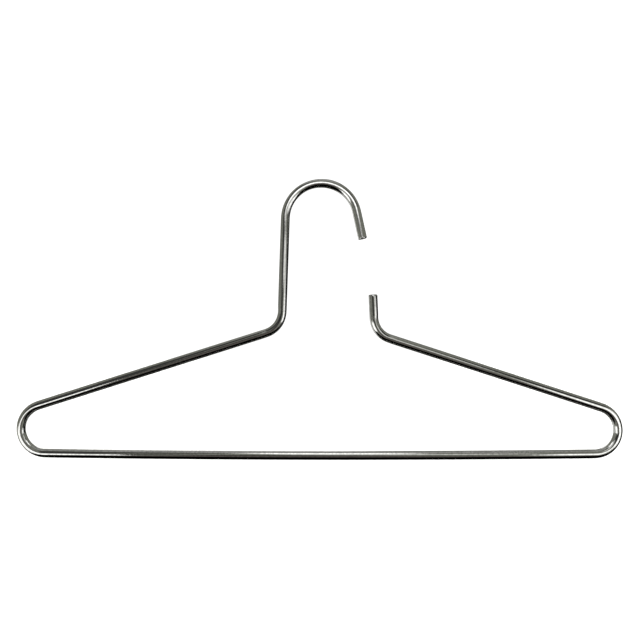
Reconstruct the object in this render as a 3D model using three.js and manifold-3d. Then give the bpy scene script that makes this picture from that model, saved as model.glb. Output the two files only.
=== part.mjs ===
// A clothes hanger bent from one round bar, in millimetres.
//
// The hanger is drawn as it hangs: +Z is up, +X runs towards the side where the bar's gap is, and the
// whole centreline lies in the plane Y = 0. The origin is the hook's seat, the highest point of the
// hook's inner side, where the hanger bears on a rail.
//
// The bar is one piece, so it is described as it is formed: straights and bends, one after another,
// from the free end in the hook to the free end of the stub. A heading is the direction in which the
// bar runs at that point, in degrees from +X towards +Z. Radii are those of the centreline.

import * as THREE from "three";
import { mergeVertices } from "three/addons/utils/BufferGeometryUtils.js";
import Module from "manifold-3d";

const wasm = await Module();
wasm.setup();

// Driving dimensions.
const barDiameter = 6.35;
const endChamfer = 0.6;

const tipHeading = 102.4;
const tipLength = 19.8;

const hookRadius = 25.3;

const neckHeading = 268.1;
const neckLength = 65.9;

const cornerRadius = 15.9;

const leftShoulderHeading = 197.6;
const leftShoulderLength = 167.8;

const leftEndRadius = 17.1;

// The lower bar sags a little, so its heading turns by lowerBarBow from one end to the other.
const lowerBarHeading = 359.9;
const lowerBarBow = 1.6;
const lowerBarLength = 385.0;

const rightEndRadius = 16.7;

const rightShoulderHeading = 360 + 162.0;
const rightShoulderLength = 156.2;

const stubHeading = 360 + 92.5;
const stubLength = 16.5;

// How finely the round surfaces are faceted.
const sectionSides = 24;
const bendStep = 7.5;
const lowerBarSteps = 6;

const barRadius = barDiameter / 2;

// A direction in the hanger's plane, from a heading in degrees.
function direction(heading) {
  const angle = THREE.MathUtils.degToRad(heading);
  return new THREE.Vector3(Math.cos(angle), 0, Math.sin(angle));
}

// The bar's centreline. Each stretch is a straight or an arc, and goes on from where the last one ended.
// The curve is sampled only at the ends of its steps, so a straight costs one step and a bend several.
class Centreline extends THREE.Curve {
  constructor(start, heading) {
    super();
    this.heading = heading;
    this.stations = [{ point: start, tangent: direction(heading) }];
  }

  // Adds a stretch of this length, over which the heading turns by this much.
  stretch(length, turn, steps) {
    const start = this.stations.at(-1).point;
    for (let step = 1; step <= steps; step += 1) {
      const share = step / steps;
      const halfTurn = THREE.MathUtils.degToRad((turn * share) / 2);
      const chord = length * share * (turn === 0 ? 1 : Math.sin(halfTurn) / halfTurn);
      const towards = direction(this.heading + (turn * share) / 2);
      const point = start.clone().addScaledVector(towards, chord);
      this.stations.push({ point, tangent: direction(this.heading + turn * share) });
    }
    this.heading += turn;
    return this;
  }

  straight(length) {
    return this.stretch(length, 0, 1);
  }

  bendTo(heading, radius) {
    const turn = heading - this.heading;
    const length = Math.abs(THREE.MathUtils.degToRad(turn)) * radius;
    return this.stretch(length, turn, Math.ceil(Math.abs(turn) / bendStep));
  }

  get steps() {
    return this.stations.length - 1;
  }

  station(share) {
    return this.stations[Math.round(share * this.steps)];
  }

  getPointAt(share, target = new THREE.Vector3()) {
    return target.copy(this.station(share).point);
  }

  getTangentAt(share, target = new THREE.Vector3()) {
    return target.copy(this.station(share).tangent);
  }
}

// The hook's bend starts at the tip's straight, and its centre is straight below the seat.
function tipPoint() {
  const hookCentre = new THREE.Vector3(0, 0, barRadius - hookRadius);
  return hookCentre
    .addScaledVector(direction(tipHeading - 90), hookRadius)
    .addScaledVector(direction(tipHeading), -tipLength);
}

function hangerCentreline() {
  return new Centreline(tipPoint(), tipHeading)
    .straight(tipLength)
    .bendTo(neckHeading, hookRadius)
    .straight(neckLength)
    .bendTo(leftShoulderHeading, cornerRadius)
    .straight(leftShoulderLength)
    .bendTo(lowerBarHeading - lowerBarBow / 2, leftEndRadius)
    .stretch(lowerBarLength, lowerBarBow, lowerBarSteps)
    .bendTo(rightShoulderHeading, rightEndRadius)
    .straight(rightShoulderLength)
    .bendTo(stubHeading, cornerRadius)
    .straight(stubLength);
}

// A closed geometry as a solid that can be cut.
function toSolid(geometry) {
  const plain = geometry.clone();
  plain.deleteAttribute("normal");
  plain.deleteAttribute("uv");
  const merged = mergeVertices(plain);
  return new wasm.Manifold(
    new wasm.Mesh({
      numProp: 3,
      vertProperties: new Float32Array(merged.attributes.position.array),
      triVerts: new Uint32Array(merged.index.array),
    }),
  );
}

function toGeometry(solid) {
  const mesh = solid.getMesh();
  const geometry = new THREE.BufferGeometry();
  geometry.setAttribute("position", new THREE.BufferAttribute(mesh.vertProperties, 3));
  geometry.setIndex(new THREE.BufferAttribute(mesh.triVerts, 1));
  geometry.computeVertexNormals();
  return geometry;
}

// The ring that is filed off a cut end to break its edge, for an end at this point that faces outward.
function chamferRing(point, outward) {
  const spare = 1;
  const profile = [
    new THREE.Vector2(barRadius - endChamfer - spare, spare),
    new THREE.Vector2(barRadius + spare, -endChamfer - spare),
    new THREE.Vector2(barRadius + spare, spare),
    new THREE.Vector2(barRadius - endChamfer - spare, spare),
  ];
  const ring = new THREE.LatheGeometry(profile, sectionSides);
  const up = new THREE.Vector3(0, 1, 0);
  const turned = new THREE.Quaternion().setFromUnitVectors(up, outward);
  ring.applyQuaternion(turned);
  ring.translate(point.x, point.y, point.z);
  return ring;
}

// The round section is swept along the centreline. A full circle takes two sides for each segment.
function sweptBar(centreline) {
  const section = new THREE.Shape();
  section.absarc(0, 0, barRadius, 0, 2 * Math.PI);
  return new THREE.ExtrudeGeometry(section, {
    steps: centreline.steps,
    curveSegments: sectionSides / 2,
    extrudePath: centreline,
  });
}

function hangerRod() {
  const centreline = hangerCentreline();
  const tip = centreline.stations.at(0);
  const stub = centreline.stations.at(-1);
  const solid = toSolid(sweptBar(centreline))
    .subtract(toSolid(chamferRing(tip.point, tip.tangent.clone().negate())))
    .subtract(toSolid(chamferRing(stub.point, stub.tangent)));
  const chrome = new THREE.MeshStandardMaterial({ color: 0xa3a39d, roughness: 0.12, metalness: 1 });
  const mesh = new THREE.Mesh(toGeometry(solid), chrome);
  mesh.name = "hanger_rod";
  return mesh;
}

const group = new THREE.Group();
group.add(hangerRod());

export default group;
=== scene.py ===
"""A clothes hanger bent from one round chromed bar, hanging free above a pale floor.

Metres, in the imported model's frame: +Z is up as the hanger hangs, the bar's centreline lies in the
plane Y = 0, and the origin is the hook's seat.
"""

import math

import bpy
import numpy as np
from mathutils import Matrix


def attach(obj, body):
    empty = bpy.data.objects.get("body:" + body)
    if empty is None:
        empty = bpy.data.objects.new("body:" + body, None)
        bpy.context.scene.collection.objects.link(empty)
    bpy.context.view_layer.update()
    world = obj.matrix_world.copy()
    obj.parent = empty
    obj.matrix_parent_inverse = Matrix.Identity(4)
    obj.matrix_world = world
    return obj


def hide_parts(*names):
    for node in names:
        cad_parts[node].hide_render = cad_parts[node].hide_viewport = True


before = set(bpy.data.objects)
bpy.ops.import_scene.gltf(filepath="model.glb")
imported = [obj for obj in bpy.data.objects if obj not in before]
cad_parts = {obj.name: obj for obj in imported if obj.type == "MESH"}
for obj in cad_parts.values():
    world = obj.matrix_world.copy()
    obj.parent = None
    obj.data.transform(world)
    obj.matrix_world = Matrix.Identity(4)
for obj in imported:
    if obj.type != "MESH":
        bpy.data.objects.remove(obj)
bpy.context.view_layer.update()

# ---------------------------------------------------------------------------------------------
# The bar's bending schedule, from the free end in the hook to the free end of the stub.
# Headings are in degrees from +X towards +Z, radii are those of the centreline.

BAR_RADIUS = 0.00635 / 2
HOOK_RADIUS = 0.0253
CORNER_RADIUS = 0.0159
LEFT_END_RADIUS = 0.0171
RIGHT_END_RADIUS = 0.0167

TIP_HEADING = 102.4
TIP_LENGTH = 0.0198
NECK_HEADING = 268.1
NECK_LENGTH = 0.0659
LEFT_SHOULDER_HEADING = 197.6
LEFT_SHOULDER_LENGTH = 0.1678
LOWER_BAR_HEADING = 359.9
LOWER_BAR_BOW = 1.6
LOWER_BAR_LENGTH = 0.3850
RIGHT_SHOULDER_HEADING = 522.0
RIGHT_SHOULDER_LENGTH = 0.1562
STUB_HEADING = 452.5
STUB_LENGTH = 0.0165

# How finely the bar is meshed. FACE_RINGS holds shares of a cut face's radius.
BEND_STEP_DEGREES = 1.8
STRAIGHT_STEP = 0.0015
SECTION_SIDES = 48
FACE_RINGS = (0.3, 0.6, 0.85, 1.0)
EDGE_RINGS = 6

# The cut ends: the edge is filed round, and the sawn face is dished by a hair.
END_BREAK = 0.0009
END_DISH = 0.00010

# The marks that bending leaves. The outside of a bend is drawn flat: it loses this share of its radius
# for each bar radius over bend radius. The former dents the bar where a tight bend starts and ends.
FLATTENING = 0.15
FLATTENING_RUN_OUT = 0.003
DENT_DEPTH = 0.00014
DENT_LENGTH = 0.0020
DENT_WIDTH = math.radians(50)
DENT_INSIDE_CORNER = math.radians(-60)
DENT_OUTSIDE_CORNER = math.radians(40)
DENT_INSIDE_END = math.radians(60)

TOWARDS_CAMERA = np.array([0.0, -1.0, 0.0])


def direction(heading):
    """Where a heading in degrees points, in the hanger's plane."""
    angle = math.radians(heading)
    return np.array([math.cos(angle), 0.0, math.sin(angle)])


def smooth_step(value, low, high):
    """Smoothly from 0 where the value is low to 1 where it is high."""
    share = min(max((value - low) / (high - low), 0.0), 1.0)
    return share * share * (3 - 2 * share)


class Centreline:
    """The bar's route: stations of (point, heading in degrees, length so far), and its bends."""

    def __init__(self, point, heading):
        self.stations = [(point, heading, 0.0)]
        self.bends = {}

    def stretch(self, length, turn, steps):
        start, heading, done = self.stations[-1]
        for step in range(1, steps + 1):
            share = step / steps
            half = math.radians(turn * share) / 2
            chord = length * share * (math.sin(half) / half if turn else 1.0)
            point = start + direction(heading + turn * share / 2) * chord
            self.stations.append((point, heading + turn * share, done + length * share))
        return self

    def straight(self, length, bow=0.0):
        return self.stretch(length, bow, math.ceil(length / STRAIGHT_STEP))

    def bend_to(self, name, heading, radius):
        """Bends to the heading. A bend's curvature is positive where it turns to the left."""
        _, old_heading, done = self.stations[-1]
        turn = heading - old_heading
        length = abs(math.radians(turn)) * radius
        self.bends[name] = (done, done + length, math.copysign(1 / radius, turn))
        return self.stretch(length, turn, math.ceil(abs(turn) / BEND_STEP_DEGREES))

    @property
    def length(self):
        return self.stations[-1][2]

    def curvature(self, along):
        """The curvature at this length, fading out past each end of a bend."""
        total = 0.0
        for start, end, curvature in self.bends.values():
            beyond = max(start - along, along - end)
            total += curvature * (1 - smooth_step(beyond, -FLATTENING_RUN_OUT, FLATTENING_RUN_OUT))
        return total


def hanger_centreline():
    hook_centre = np.array([0.0, 0.0, BAR_RADIUS - HOOK_RADIUS])
    to_hook_bend = direction(TIP_HEADING - 90) * HOOK_RADIUS
    tip = hook_centre + to_hook_bend - direction(TIP_HEADING) * TIP_LENGTH
    return (
        Centreline(tip, TIP_HEADING)
        .straight(TIP_LENGTH)
        .bend_to("hook", NECK_HEADING, HOOK_RADIUS)
        .straight(NECK_LENGTH)
        .bend_to("left_corner", LEFT_SHOULDER_HEADING, CORNER_RADIUS)
        .straight(LEFT_SHOULDER_LENGTH)
        .bend_to("left_end", LOWER_BAR_HEADING - LOWER_BAR_BOW / 2, LEFT_END_RADIUS)
        .straight(LOWER_BAR_LENGTH, LOWER_BAR_BOW)
        .bend_to("right_end", RIGHT_SHOULDER_HEADING, RIGHT_END_RADIUS)
        .straight(RIGHT_SHOULDER_LENGTH)
        .bend_to("right_corner", STUB_HEADING, CORNER_RADIUS)
        .straight(STUB_LENGTH)
    )


def dents(line):
    """(length along the bar, angle round it) of the former's marks.

    Angle 0 faces the camera and 90 degrees is to the left of the way the bar runs.
    """
    left_start, left_end, _ = line.bends["left_corner"]
    right_start, right_end, _ = line.bends["right_corner"]
    left_middle = sum(line.bends["left_end"][:2]) / 2
    right_middle = sum(line.bends["right_end"][:2]) / 2
    return [
        (left_start, DENT_INSIDE_CORNER),
        (left_end, DENT_OUTSIDE_CORNER),
        (right_start, DENT_OUTSIDE_CORNER),
        (right_end, DENT_INSIDE_CORNER),
        (left_middle, DENT_INSIDE_END),
        (right_middle, DENT_INSIDE_END),
    ]


def section(line, along, angles, marks):
    """The bar's radius at each angle round it, at this length along it."""
    curvature = line.curvature(along)
    outside = np.clip(-math.copysign(1, curvature) * np.sin(angles), 0, None)
    radius = BAR_RADIUS * (1 - FLATTENING * abs(curvature) * BAR_RADIUS * outside**2)
    for mark, middle in marks:
        away = (angles - middle + math.pi) % (2 * math.pi) - math.pi
        depth = DENT_DEPTH * math.exp(-(((along - mark) / DENT_LENGTH) ** 2))
        radius -= depth * np.exp(-((away / DENT_WIDTH) ** 2))
    return radius


def end_rings():
    """(depth behind the cut face, inset from the bar's side) of the rings from the face outwards."""
    rings = []
    for share in FACE_RINGS:
        rings.append((END_DISH * (1 - share**2), BAR_RADIUS - share * (BAR_RADIUS - END_BREAK)))
    for turn in np.linspace(0, math.pi / 2, EDGE_RINGS + 1)[1:]:
        rings.append((END_BREAK * (1 - math.cos(turn)), END_BREAK * (1 - math.sin(turn))))
    return rings


def bar_mesh(line):
    """The bar as one closed tube, with the length along it and the angle round it as its UV."""
    angles = np.arange(SECTION_SIDES) * (2 * math.pi / SECTION_SIDES)
    marks = dents(line)
    first, last = line.stations[0], line.stations[-1]
    rings = []
    for depth, inset in end_rings():
        rings.append((first[0] + direction(first[1]) * depth, first[1], depth, inset))
    for point, heading, along in line.stations:
        if END_BREAK < along < line.length - END_BREAK:
            rings.append((point, heading, along, 0.0))
    for depth, inset in reversed(end_rings()):
        rings.append((last[0] - direction(last[1]) * depth, last[1], line.length - depth, inset))

    points = []
    for point, heading, along, inset in rings:
        radius = section(line, along, angles, marks) - inset
        to_camera = np.outer(radius * np.cos(angles), TOWARDS_CAMERA)
        to_left = np.outer(radius * np.sin(angles), direction(heading + 90))
        points.append(point + to_camera + to_left)
    points = np.concatenate(points)
    middles = np.array([first[0] + direction(first[1]) * END_DISH, last[0] - direction(last[1]) * END_DISH])

    share_along = [along / line.length for _, _, along, _ in rings]
    faces, corners = [], []
    for ring in range(len(rings) - 1):
        for side in range(SECTION_SIDES):
            here, beside = ring * SECTION_SIDES + side, ring * SECTION_SIDES + (side + 1) % SECTION_SIDES
            faces.append((here, here + SECTION_SIDES, beside + SECTION_SIDES, beside))
            low, high = side / SECTION_SIDES, (side + 1) / SECTION_SIDES
            near, far = share_along[ring], share_along[ring + 1]
            corners += [(near, low), (far, low), (far, high), (near, high)]
    last_ring = (len(rings) - 1) * SECTION_SIDES
    for side in range(SECTION_SIDES):
        beside = (side + 1) % SECTION_SIDES
        low, high = side / SECTION_SIDES, (side + 1) / SECTION_SIDES
        faces.append((len(points), side, beside))
        corners += [(0.0, low), (0.0, low), (0.0, high)]
        faces.append((len(points) + 1, last_ring + beside, last_ring + side))
        corners += [(1.0, high), (1.0, high), (1.0, low)]

    mesh = bpy.data.meshes.new("hanger_bar")
    mesh.from_pydata([tuple(point) for point in (*points, *middles)], [], faces)
    layer = mesh.uv_layers.new(name="along_and_round")
    layer.data.foreach_set("uv", np.array(corners).ravel())
    mesh.shade_smooth()
    return mesh


# ---------------------------------------------------------------------------------------------
# Nodes.


class Nodes:
    """Short calls for making nodes: an input may be a number, a colour or another node's output."""

    def __init__(self, tree):
        self.tree = tree
        tree.nodes.clear()

    def add(self, kind, inputs=(), **settings):
        node = self.tree.nodes.new(kind)
        for key, value in settings.items():
            setattr(node, key, value)
        for key, value in dict(inputs).items():
            if isinstance(value, bpy.types.NodeSocket):
                self.tree.links.new(value, node.inputs[key])
            else:
                node.inputs[key].default_value = value
        return node

    def math(self, operation, *values):
        return self.add("ShaderNodeMath", enumerate(values), operation=operation).outputs[0]

    def total(self, *values):
        result = values[0]
        for value in values[1:]:
            result = self.math("ADD", result, value)
        return result

    def fade(self, value, low, high, to_low=0.0, to_high=1.0):
        """Smoothly from to_low where the value is low to to_high where it is high."""
        inputs = {"Value": value, "From Min": low, "From Max": high, "To Min": to_low, "To Max": to_high}
        return self.add("ShaderNodeMapRange", inputs, interpolation_type="SMOOTHSTEP").outputs[0]

    def mix(self, factor, a, b):
        return self.add("ShaderNodeMix", {0: factor, 6: a, 7: b}, data_type="RGBA").outputs[2]

    def noise(self, vector, scale, detail, roughness):
        inputs = {"Vector": vector, "Scale": scale, "Detail": detail, "Roughness": roughness}
        return self.add("ShaderNodeTexNoise", inputs).outputs["Fac"]


# ---------------------------------------------------------------------------------------------
# Chrome: mirror bright, with the bar's lengthwise drawing lines, a little waviness and a fine pitted grain
# in the plating, smudges from handling, scuffs where the former bore, and dull sawn end faces.

BRIGHT_CHROME = (0.70, 0.70, 0.685, 1)
SMUDGED_CHROME = (0.62, 0.62, 0.60, 1)
PITTED_CHROME = (0.56, 0.56, 0.55, 1)
SAWN_STEEL = (0.16, 0.155, 0.15, 1)

# Each kind of noise has its scale, its detail and the roughness of that detail.
DRAWING_LINES = (9.0, 3.0, 0.6)
DRAWING_STRETCH = 40.0
WAVES = (180.0, 1.0, 0.4)
GRAIN = (700.0, 3.0, 0.6)
SMUDGES = (60.0, 3.0, 0.6)

# How rough the plating is where it is clean and smudged, and what else adds to that.
CLEAN_ROUGHNESS = 0.03
SMUDGED_ROUGHNESS = 0.08
LINE_ROUGHNESS = 0.04
SCUFF_ROUGHNESS = 0.15
SAWN_ROUGHNESS = 0.35
SCUFF_CORE = 0.001
SCUFF_REACH = 0.005

# The heights in the relief, where the waves' height is 1, and how much of the relief shows.
LINE_HEIGHT = 0.3
GRAIN_HEIGHT = 1.2
RELIEF_STRENGTH = 0.3
RELIEF_DEPTH = 0.00005


def chrome(line):
    """The bar's material, worked out from the length along the bar and the angle round it."""
    material = bpy.data.materials.new("polished_chrome")
    material.use_nodes = True
    nodes = Nodes(material.node_tree)
    place = nodes.add("ShaderNodeTexCoord").outputs["Object"]
    uv_map = nodes.add("ShaderNodeUVMap", uv_map="along_and_round").outputs[0]
    shares = nodes.add("ShaderNodeSeparateXYZ", {0: uv_map}).outputs
    along = nodes.math("MULTIPLY", shares[0], line.length)
    angle = nodes.math("MULTIPLY", shares[1], 2 * math.pi)

    # The drawing lines are noise on a cylinder of radius 1, stretched so that it runs along the bar.
    stretched = nodes.math("MULTIPLY", along, DRAWING_STRETCH)
    wrapped = {0: stretched, 1: nodes.math("SINE", angle), 2: nodes.math("COSINE", angle)}
    lines = nodes.noise(nodes.add("ShaderNodeCombineXYZ", wrapped).outputs[0], *DRAWING_LINES)
    waves = nodes.noise(place, *WAVES)
    grain = nodes.noise(place, *GRAIN)
    smudge = nodes.noise(place, *SMUDGES)

    scuffs = []
    for mark, _ in dents(line):
        from_mark = nodes.math("ABSOLUTE", nodes.math("SUBTRACT", along, mark))
        scuffs.append(nodes.fade(from_mark, SCUFF_CORE, SCUFF_REACH, 1.0, 0.0))
    scuffed = nodes.math("MULTIPLY", nodes.total(*scuffs), nodes.fade(lines, 0.45, 0.60))
    from_middle = nodes.math("ABSOLUTE", nodes.math("SUBTRACT", along, line.length / 2))
    sawn = nodes.fade(from_middle, line.length / 2 - END_BREAK / 4, line.length / 2)

    roughness = nodes.total(
        nodes.fade(smudge, 0.45, 0.75, CLEAN_ROUGHNESS, SMUDGED_ROUGHNESS),
        nodes.fade(lines, 0.45, 0.80, 0.0, LINE_ROUGHNESS),
        nodes.math("MULTIPLY", scuffed, SCUFF_ROUGHNESS),
        nodes.math("MULTIPLY", sawn, SAWN_ROUGHNESS),
    )
    raised_lines = nodes.math("MULTIPLY", lines, LINE_HEIGHT)
    raised_grain = nodes.math("MULTIPLY", grain, GRAIN_HEIGHT)
    relief = nodes.total(waves, raised_lines, raised_grain)
    raised = {"Strength": RELIEF_STRENGTH, "Distance": RELIEF_DEPTH, "Height": relief}
    bump = nodes.add("ShaderNodeBump", raised)
    colour = nodes.mix(nodes.fade(smudge, 0.40, 0.75), BRIGHT_CHROME, SMUDGED_CHROME)
    colour = nodes.mix(nodes.fade(grain, 0.45, 0.60), colour, PITTED_CHROME)
    colour = nodes.mix(sawn, colour, SAWN_STEEL)
    shader = nodes.add(
        "ShaderNodeBsdfPrincipled",
        {"Base Color": colour, "Metallic": 1.0, "Roughness": roughness, "Normal": bump.outputs[0]},
    )
    nodes.add("ShaderNodeOutputMaterial", {"Surface": shader.outputs[0]})
    return material


# ---------------------------------------------------------------------------------------------
# The hanger.

centreline = hanger_centreline()
bar = bpy.data.objects.new("hanger_bar", bar_mesh(centreline))
bpy.context.scene.collection.objects.link(bar)
bar.data.materials.append(chrome(centreline))
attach(bar, "root")
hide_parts("hanger_rod")

# ---------------------------------------------------------------------------------------------
# The studio: a pale floor and a white surround, soft sheets of light close to the hanger, and a plain
# room further off with boards, lamps and a dark table, which only the chrome sees.

FLOOR_Z = -0.45
FLOOR_HALF = 6.0
FLOOR_GREY = 0.92
SUN_STRENGTH = 4.0
SUN_WIDTH = math.radians(40)
WHITENESS = 1.15


def floor():
    """A pale floor, well below the hanger, which the chrome does not mirror."""
    mesh = bpy.data.meshes.new("floor")
    corners = [(x * FLOOR_HALF, y * FLOOR_HALF, FLOOR_Z) for x, y in ((-1, -1), (1, -1), (1, 1), (-1, 1))]
    mesh.from_pydata(corners, [], [(0, 1, 2, 3)])
    material = bpy.data.materials.new("pale_floor")
    material.use_nodes = True
    nodes = Nodes(material.node_tree)
    shader = nodes.add("ShaderNodeBsdfDiffuse", {"Color": (FLOOR_GREY, FLOOR_GREY, FLOOR_GREY, 1)})
    nodes.add("ShaderNodeOutputMaterial", {"Surface": shader.outputs[0]})
    mesh.materials.append(material)
    plane = bpy.data.objects.new("floor", mesh)
    bpy.context.scene.collection.objects.link(plane)
    plane.visible_glossy = False


# Each lamp is a soft sheet of light. It has its middle, its slope in degrees (0 shines straight down, 90
# straight back at the hanger), its heading in degrees about the upright, its width and height, its
# brightness, and the shares of its width, foot and head over which it fades out.
LAMPS = [
    ("sheet_above", (0.01, -0.17, 0.037), 32, 0, (0.24, 0.165), 2.2, (0.30, 0.50, 0.45)),
    ("flap_of_the_sheet", (0.09, -0.275, -0.029), 32, 0, (0.34, 0.13), 0.75, (0.20, 0.30, 0.32)),
    ("wall_on_the_left", (-0.42, -0.42, -0.35), 90, -77, (0.70, 0.36), 1.5, (0.05, 0.30, 0.20)),
    ("wall_on_the_right", (0.39, -0.34, -0.17), 90, 71, (0.55, 0.38), 1.5, (0.25, 0.25, 0.40)),
]


def lamp(name, middle, slope, heading, size, brightness, fades):
    """One sheet of light, seen by the chrome and not by the camera, and as bright at any size."""
    data = bpy.data.lights.new(name, "AREA")
    data.shape = "RECTANGLE"
    data.size, data.size_y = size
    data.energy = brightness * math.pi * data.size * data.size_y
    data.use_nodes = True
    nodes = Nodes(data.node_tree)
    parametric = nodes.add("ShaderNodeNewGeometry").outputs["Parametric"]
    place = nodes.add("ShaderNodeSeparateXYZ", {0: parametric}).outputs
    side, foot, head = fades
    from_middle = nodes.math("ABSOLUTE", nodes.math("SUBTRACT", place[0], 0.5))
    across = nodes.fade(from_middle, 0.5 - side, 0.5, 1.0, 0.0)
    from_foot = nodes.fade(place[1], 0.0, foot)
    up = nodes.math("MULTIPLY", from_foot, nodes.fade(place[1], 1 - head, 1.0, 1.0, 0.0))
    glow = nodes.add("ShaderNodeEmission", {"Strength": nodes.math("MULTIPLY", across, up)})
    nodes.add("ShaderNodeOutputLight", {"Surface": glow.outputs[0]})
    sheet = bpy.data.objects.new(name, data)
    sheet.location = middle
    sheet.rotation_euler = (math.radians(slope), 0, math.radians(heading))
    sheet.visible_camera = False
    bpy.context.scene.collection.objects.link(sheet)


def floor_light():
    """A soft sun straight above, which the chrome does not mirror."""
    data = bpy.data.lights.new("floor_light", "SUN")
    data.energy = SUN_STRENGTH
    data.angle = SUN_WIDTH
    sun = bpy.data.objects.new("floor_light", data)
    sun.visible_glossy = False
    bpy.context.scene.collection.objects.link(sun)


# What stands further off. Each has the azimuth of its middle, from straight in front (-Y) towards +X, its
# elevation, its half width and half height, the softness of its edge, how much wider it gets with each
# degree downwards, its tint and its brightness. Angles are in degrees. A later one hides an earlier one.
ROOM = (0.23, 0.235, 0.205, 1)
WHITE = (1.0, 1.0, 0.98)
BROWN = (1.0, 0.86, 0.80)
STUDIO = [
    ("ceiling", 0, 90, 360, 20, 10, 0.0, WHITE, 0.40),
    ("board high on the left", -35, 30, 15, 20, 10, -0.25, WHITE, 0.05),
    ("board high on the right", 45, 35, 15, 10, 5, 0.5, WHITE, 0.03),
    ("dark corner on the right", 110, -40, 40, 40, 20, 0.0, WHITE, 0.01),
    ("table", 0, -80, 130, 42, 8, 0.0, BROWN, 0.0),
    ("dark floor all round", 0, -90, 360, 35, 10, 0.0, BROWN, 0.0),
    ("opening in front", 0, -12, 8, 16, 6, 0.5, BROWN, 0.12),
    ("camera", -12, 2, 14, 5, 5, 0.0, WHITE, 0.03),
    ("lamp behind", -170, 25, 10, 20, 10, 0.0, WHITE, 1.3),
    ("softbox behind on the left", -130, -20, 15, 15, 10, 0.0, WHITE, 0.9),
    ("softbox behind on the right", 160, -20, 10, 15, 10, 0.0, WHITE, 0.9),
]


def surroundings():
    """Plain white for the camera, and the room of STUDIO for all that the chrome mirrors."""
    world = bpy.data.worlds.new("studio")
    bpy.context.scene.world = world
    world.use_nodes = True
    nodes = Nodes(world.node_tree)
    axis = nodes.add("ShaderNodeSeparateXYZ", {0: nodes.add("ShaderNodeTexCoord").outputs["Generated"]})
    azimuth = nodes.math("ARCTAN2", axis.outputs[0], nodes.math("MULTIPLY", axis.outputs[1], -1.0))
    elevation = nodes.math("ARCSINE", axis.outputs[2])
    look = nodes.add("ShaderNodeRGB").outputs[0]
    look.default_value = ROOM
    for _, *angles, flare, tint, brightness in STUDIO:
        middle, height, half_width, half_height, edge = (math.radians(angle) for angle in angles)
        turned = nodes.math("WRAP", nodes.math("SUBTRACT", azimuth, middle), math.pi, -math.pi)
        rise = nodes.math("SUBTRACT", elevation, height)
        beyond = nodes.math("ADD", nodes.math("ABSOLUTE", turned), nodes.math("MULTIPLY", rise, flare))
        across = nodes.fade(beyond, half_width, half_width + edge, 1.0, 0.0)
        up = nodes.fade(nodes.math("ABSOLUTE", rise), half_height, half_height + edge, 1.0, 0.0)
        colour = (*(brightness * channel for channel in tint), 1)
        look = nodes.mix(nodes.math("MULTIPLY", across, up), look, colour)
    mirrored = nodes.add("ShaderNodeBackground", {"Color": look, "Strength": 1.0}).outputs[0]
    plain = nodes.add("ShaderNodeBackground", {"Color": (1, 1, 1, 1), "Strength": WHITENESS}).outputs[0]
    is_seen = nodes.add("ShaderNodeLightPath").outputs["Is Camera Ray"]
    both = nodes.add("ShaderNodeMixShader", {0: is_seen, 1: mirrored, 2: plain})
    nodes.add("ShaderNodeOutputWorld", {"Surface": both.outputs[0]})


floor()
for settings in LAMPS:
    lamp(*settings)
floor_light()
surroundings()

# ---------------------------------------------------------------------------------------------
# The camera looks straight at the hanger's plane, square on.

CAMERA_DISTANCE = 0.5
CAMERA_X = -0.00097
CAMERA_Z = -0.0927
FIELD_WIDTH = 0.4486
SENSOR_MM = 36.0


def camera():
    data = bpy.data.cameras.new("camera")
    data.sensor_width = SENSOR_MM
    data.lens = SENSOR_MM * CAMERA_DISTANCE / FIELD_WIDTH
    eye = bpy.data.objects.new("camera", data)
    bpy.context.scene.collection.objects.link(eye)
    eye.location = (CAMERA_X, -CAMERA_DISTANCE, CAMERA_Z)
    eye.rotation_euler = (math.radians(90), 0, 0)
    bpy.context.scene.camera = eye


camera()
bpy.context.scene.view_settings.view_transform = "Standard"
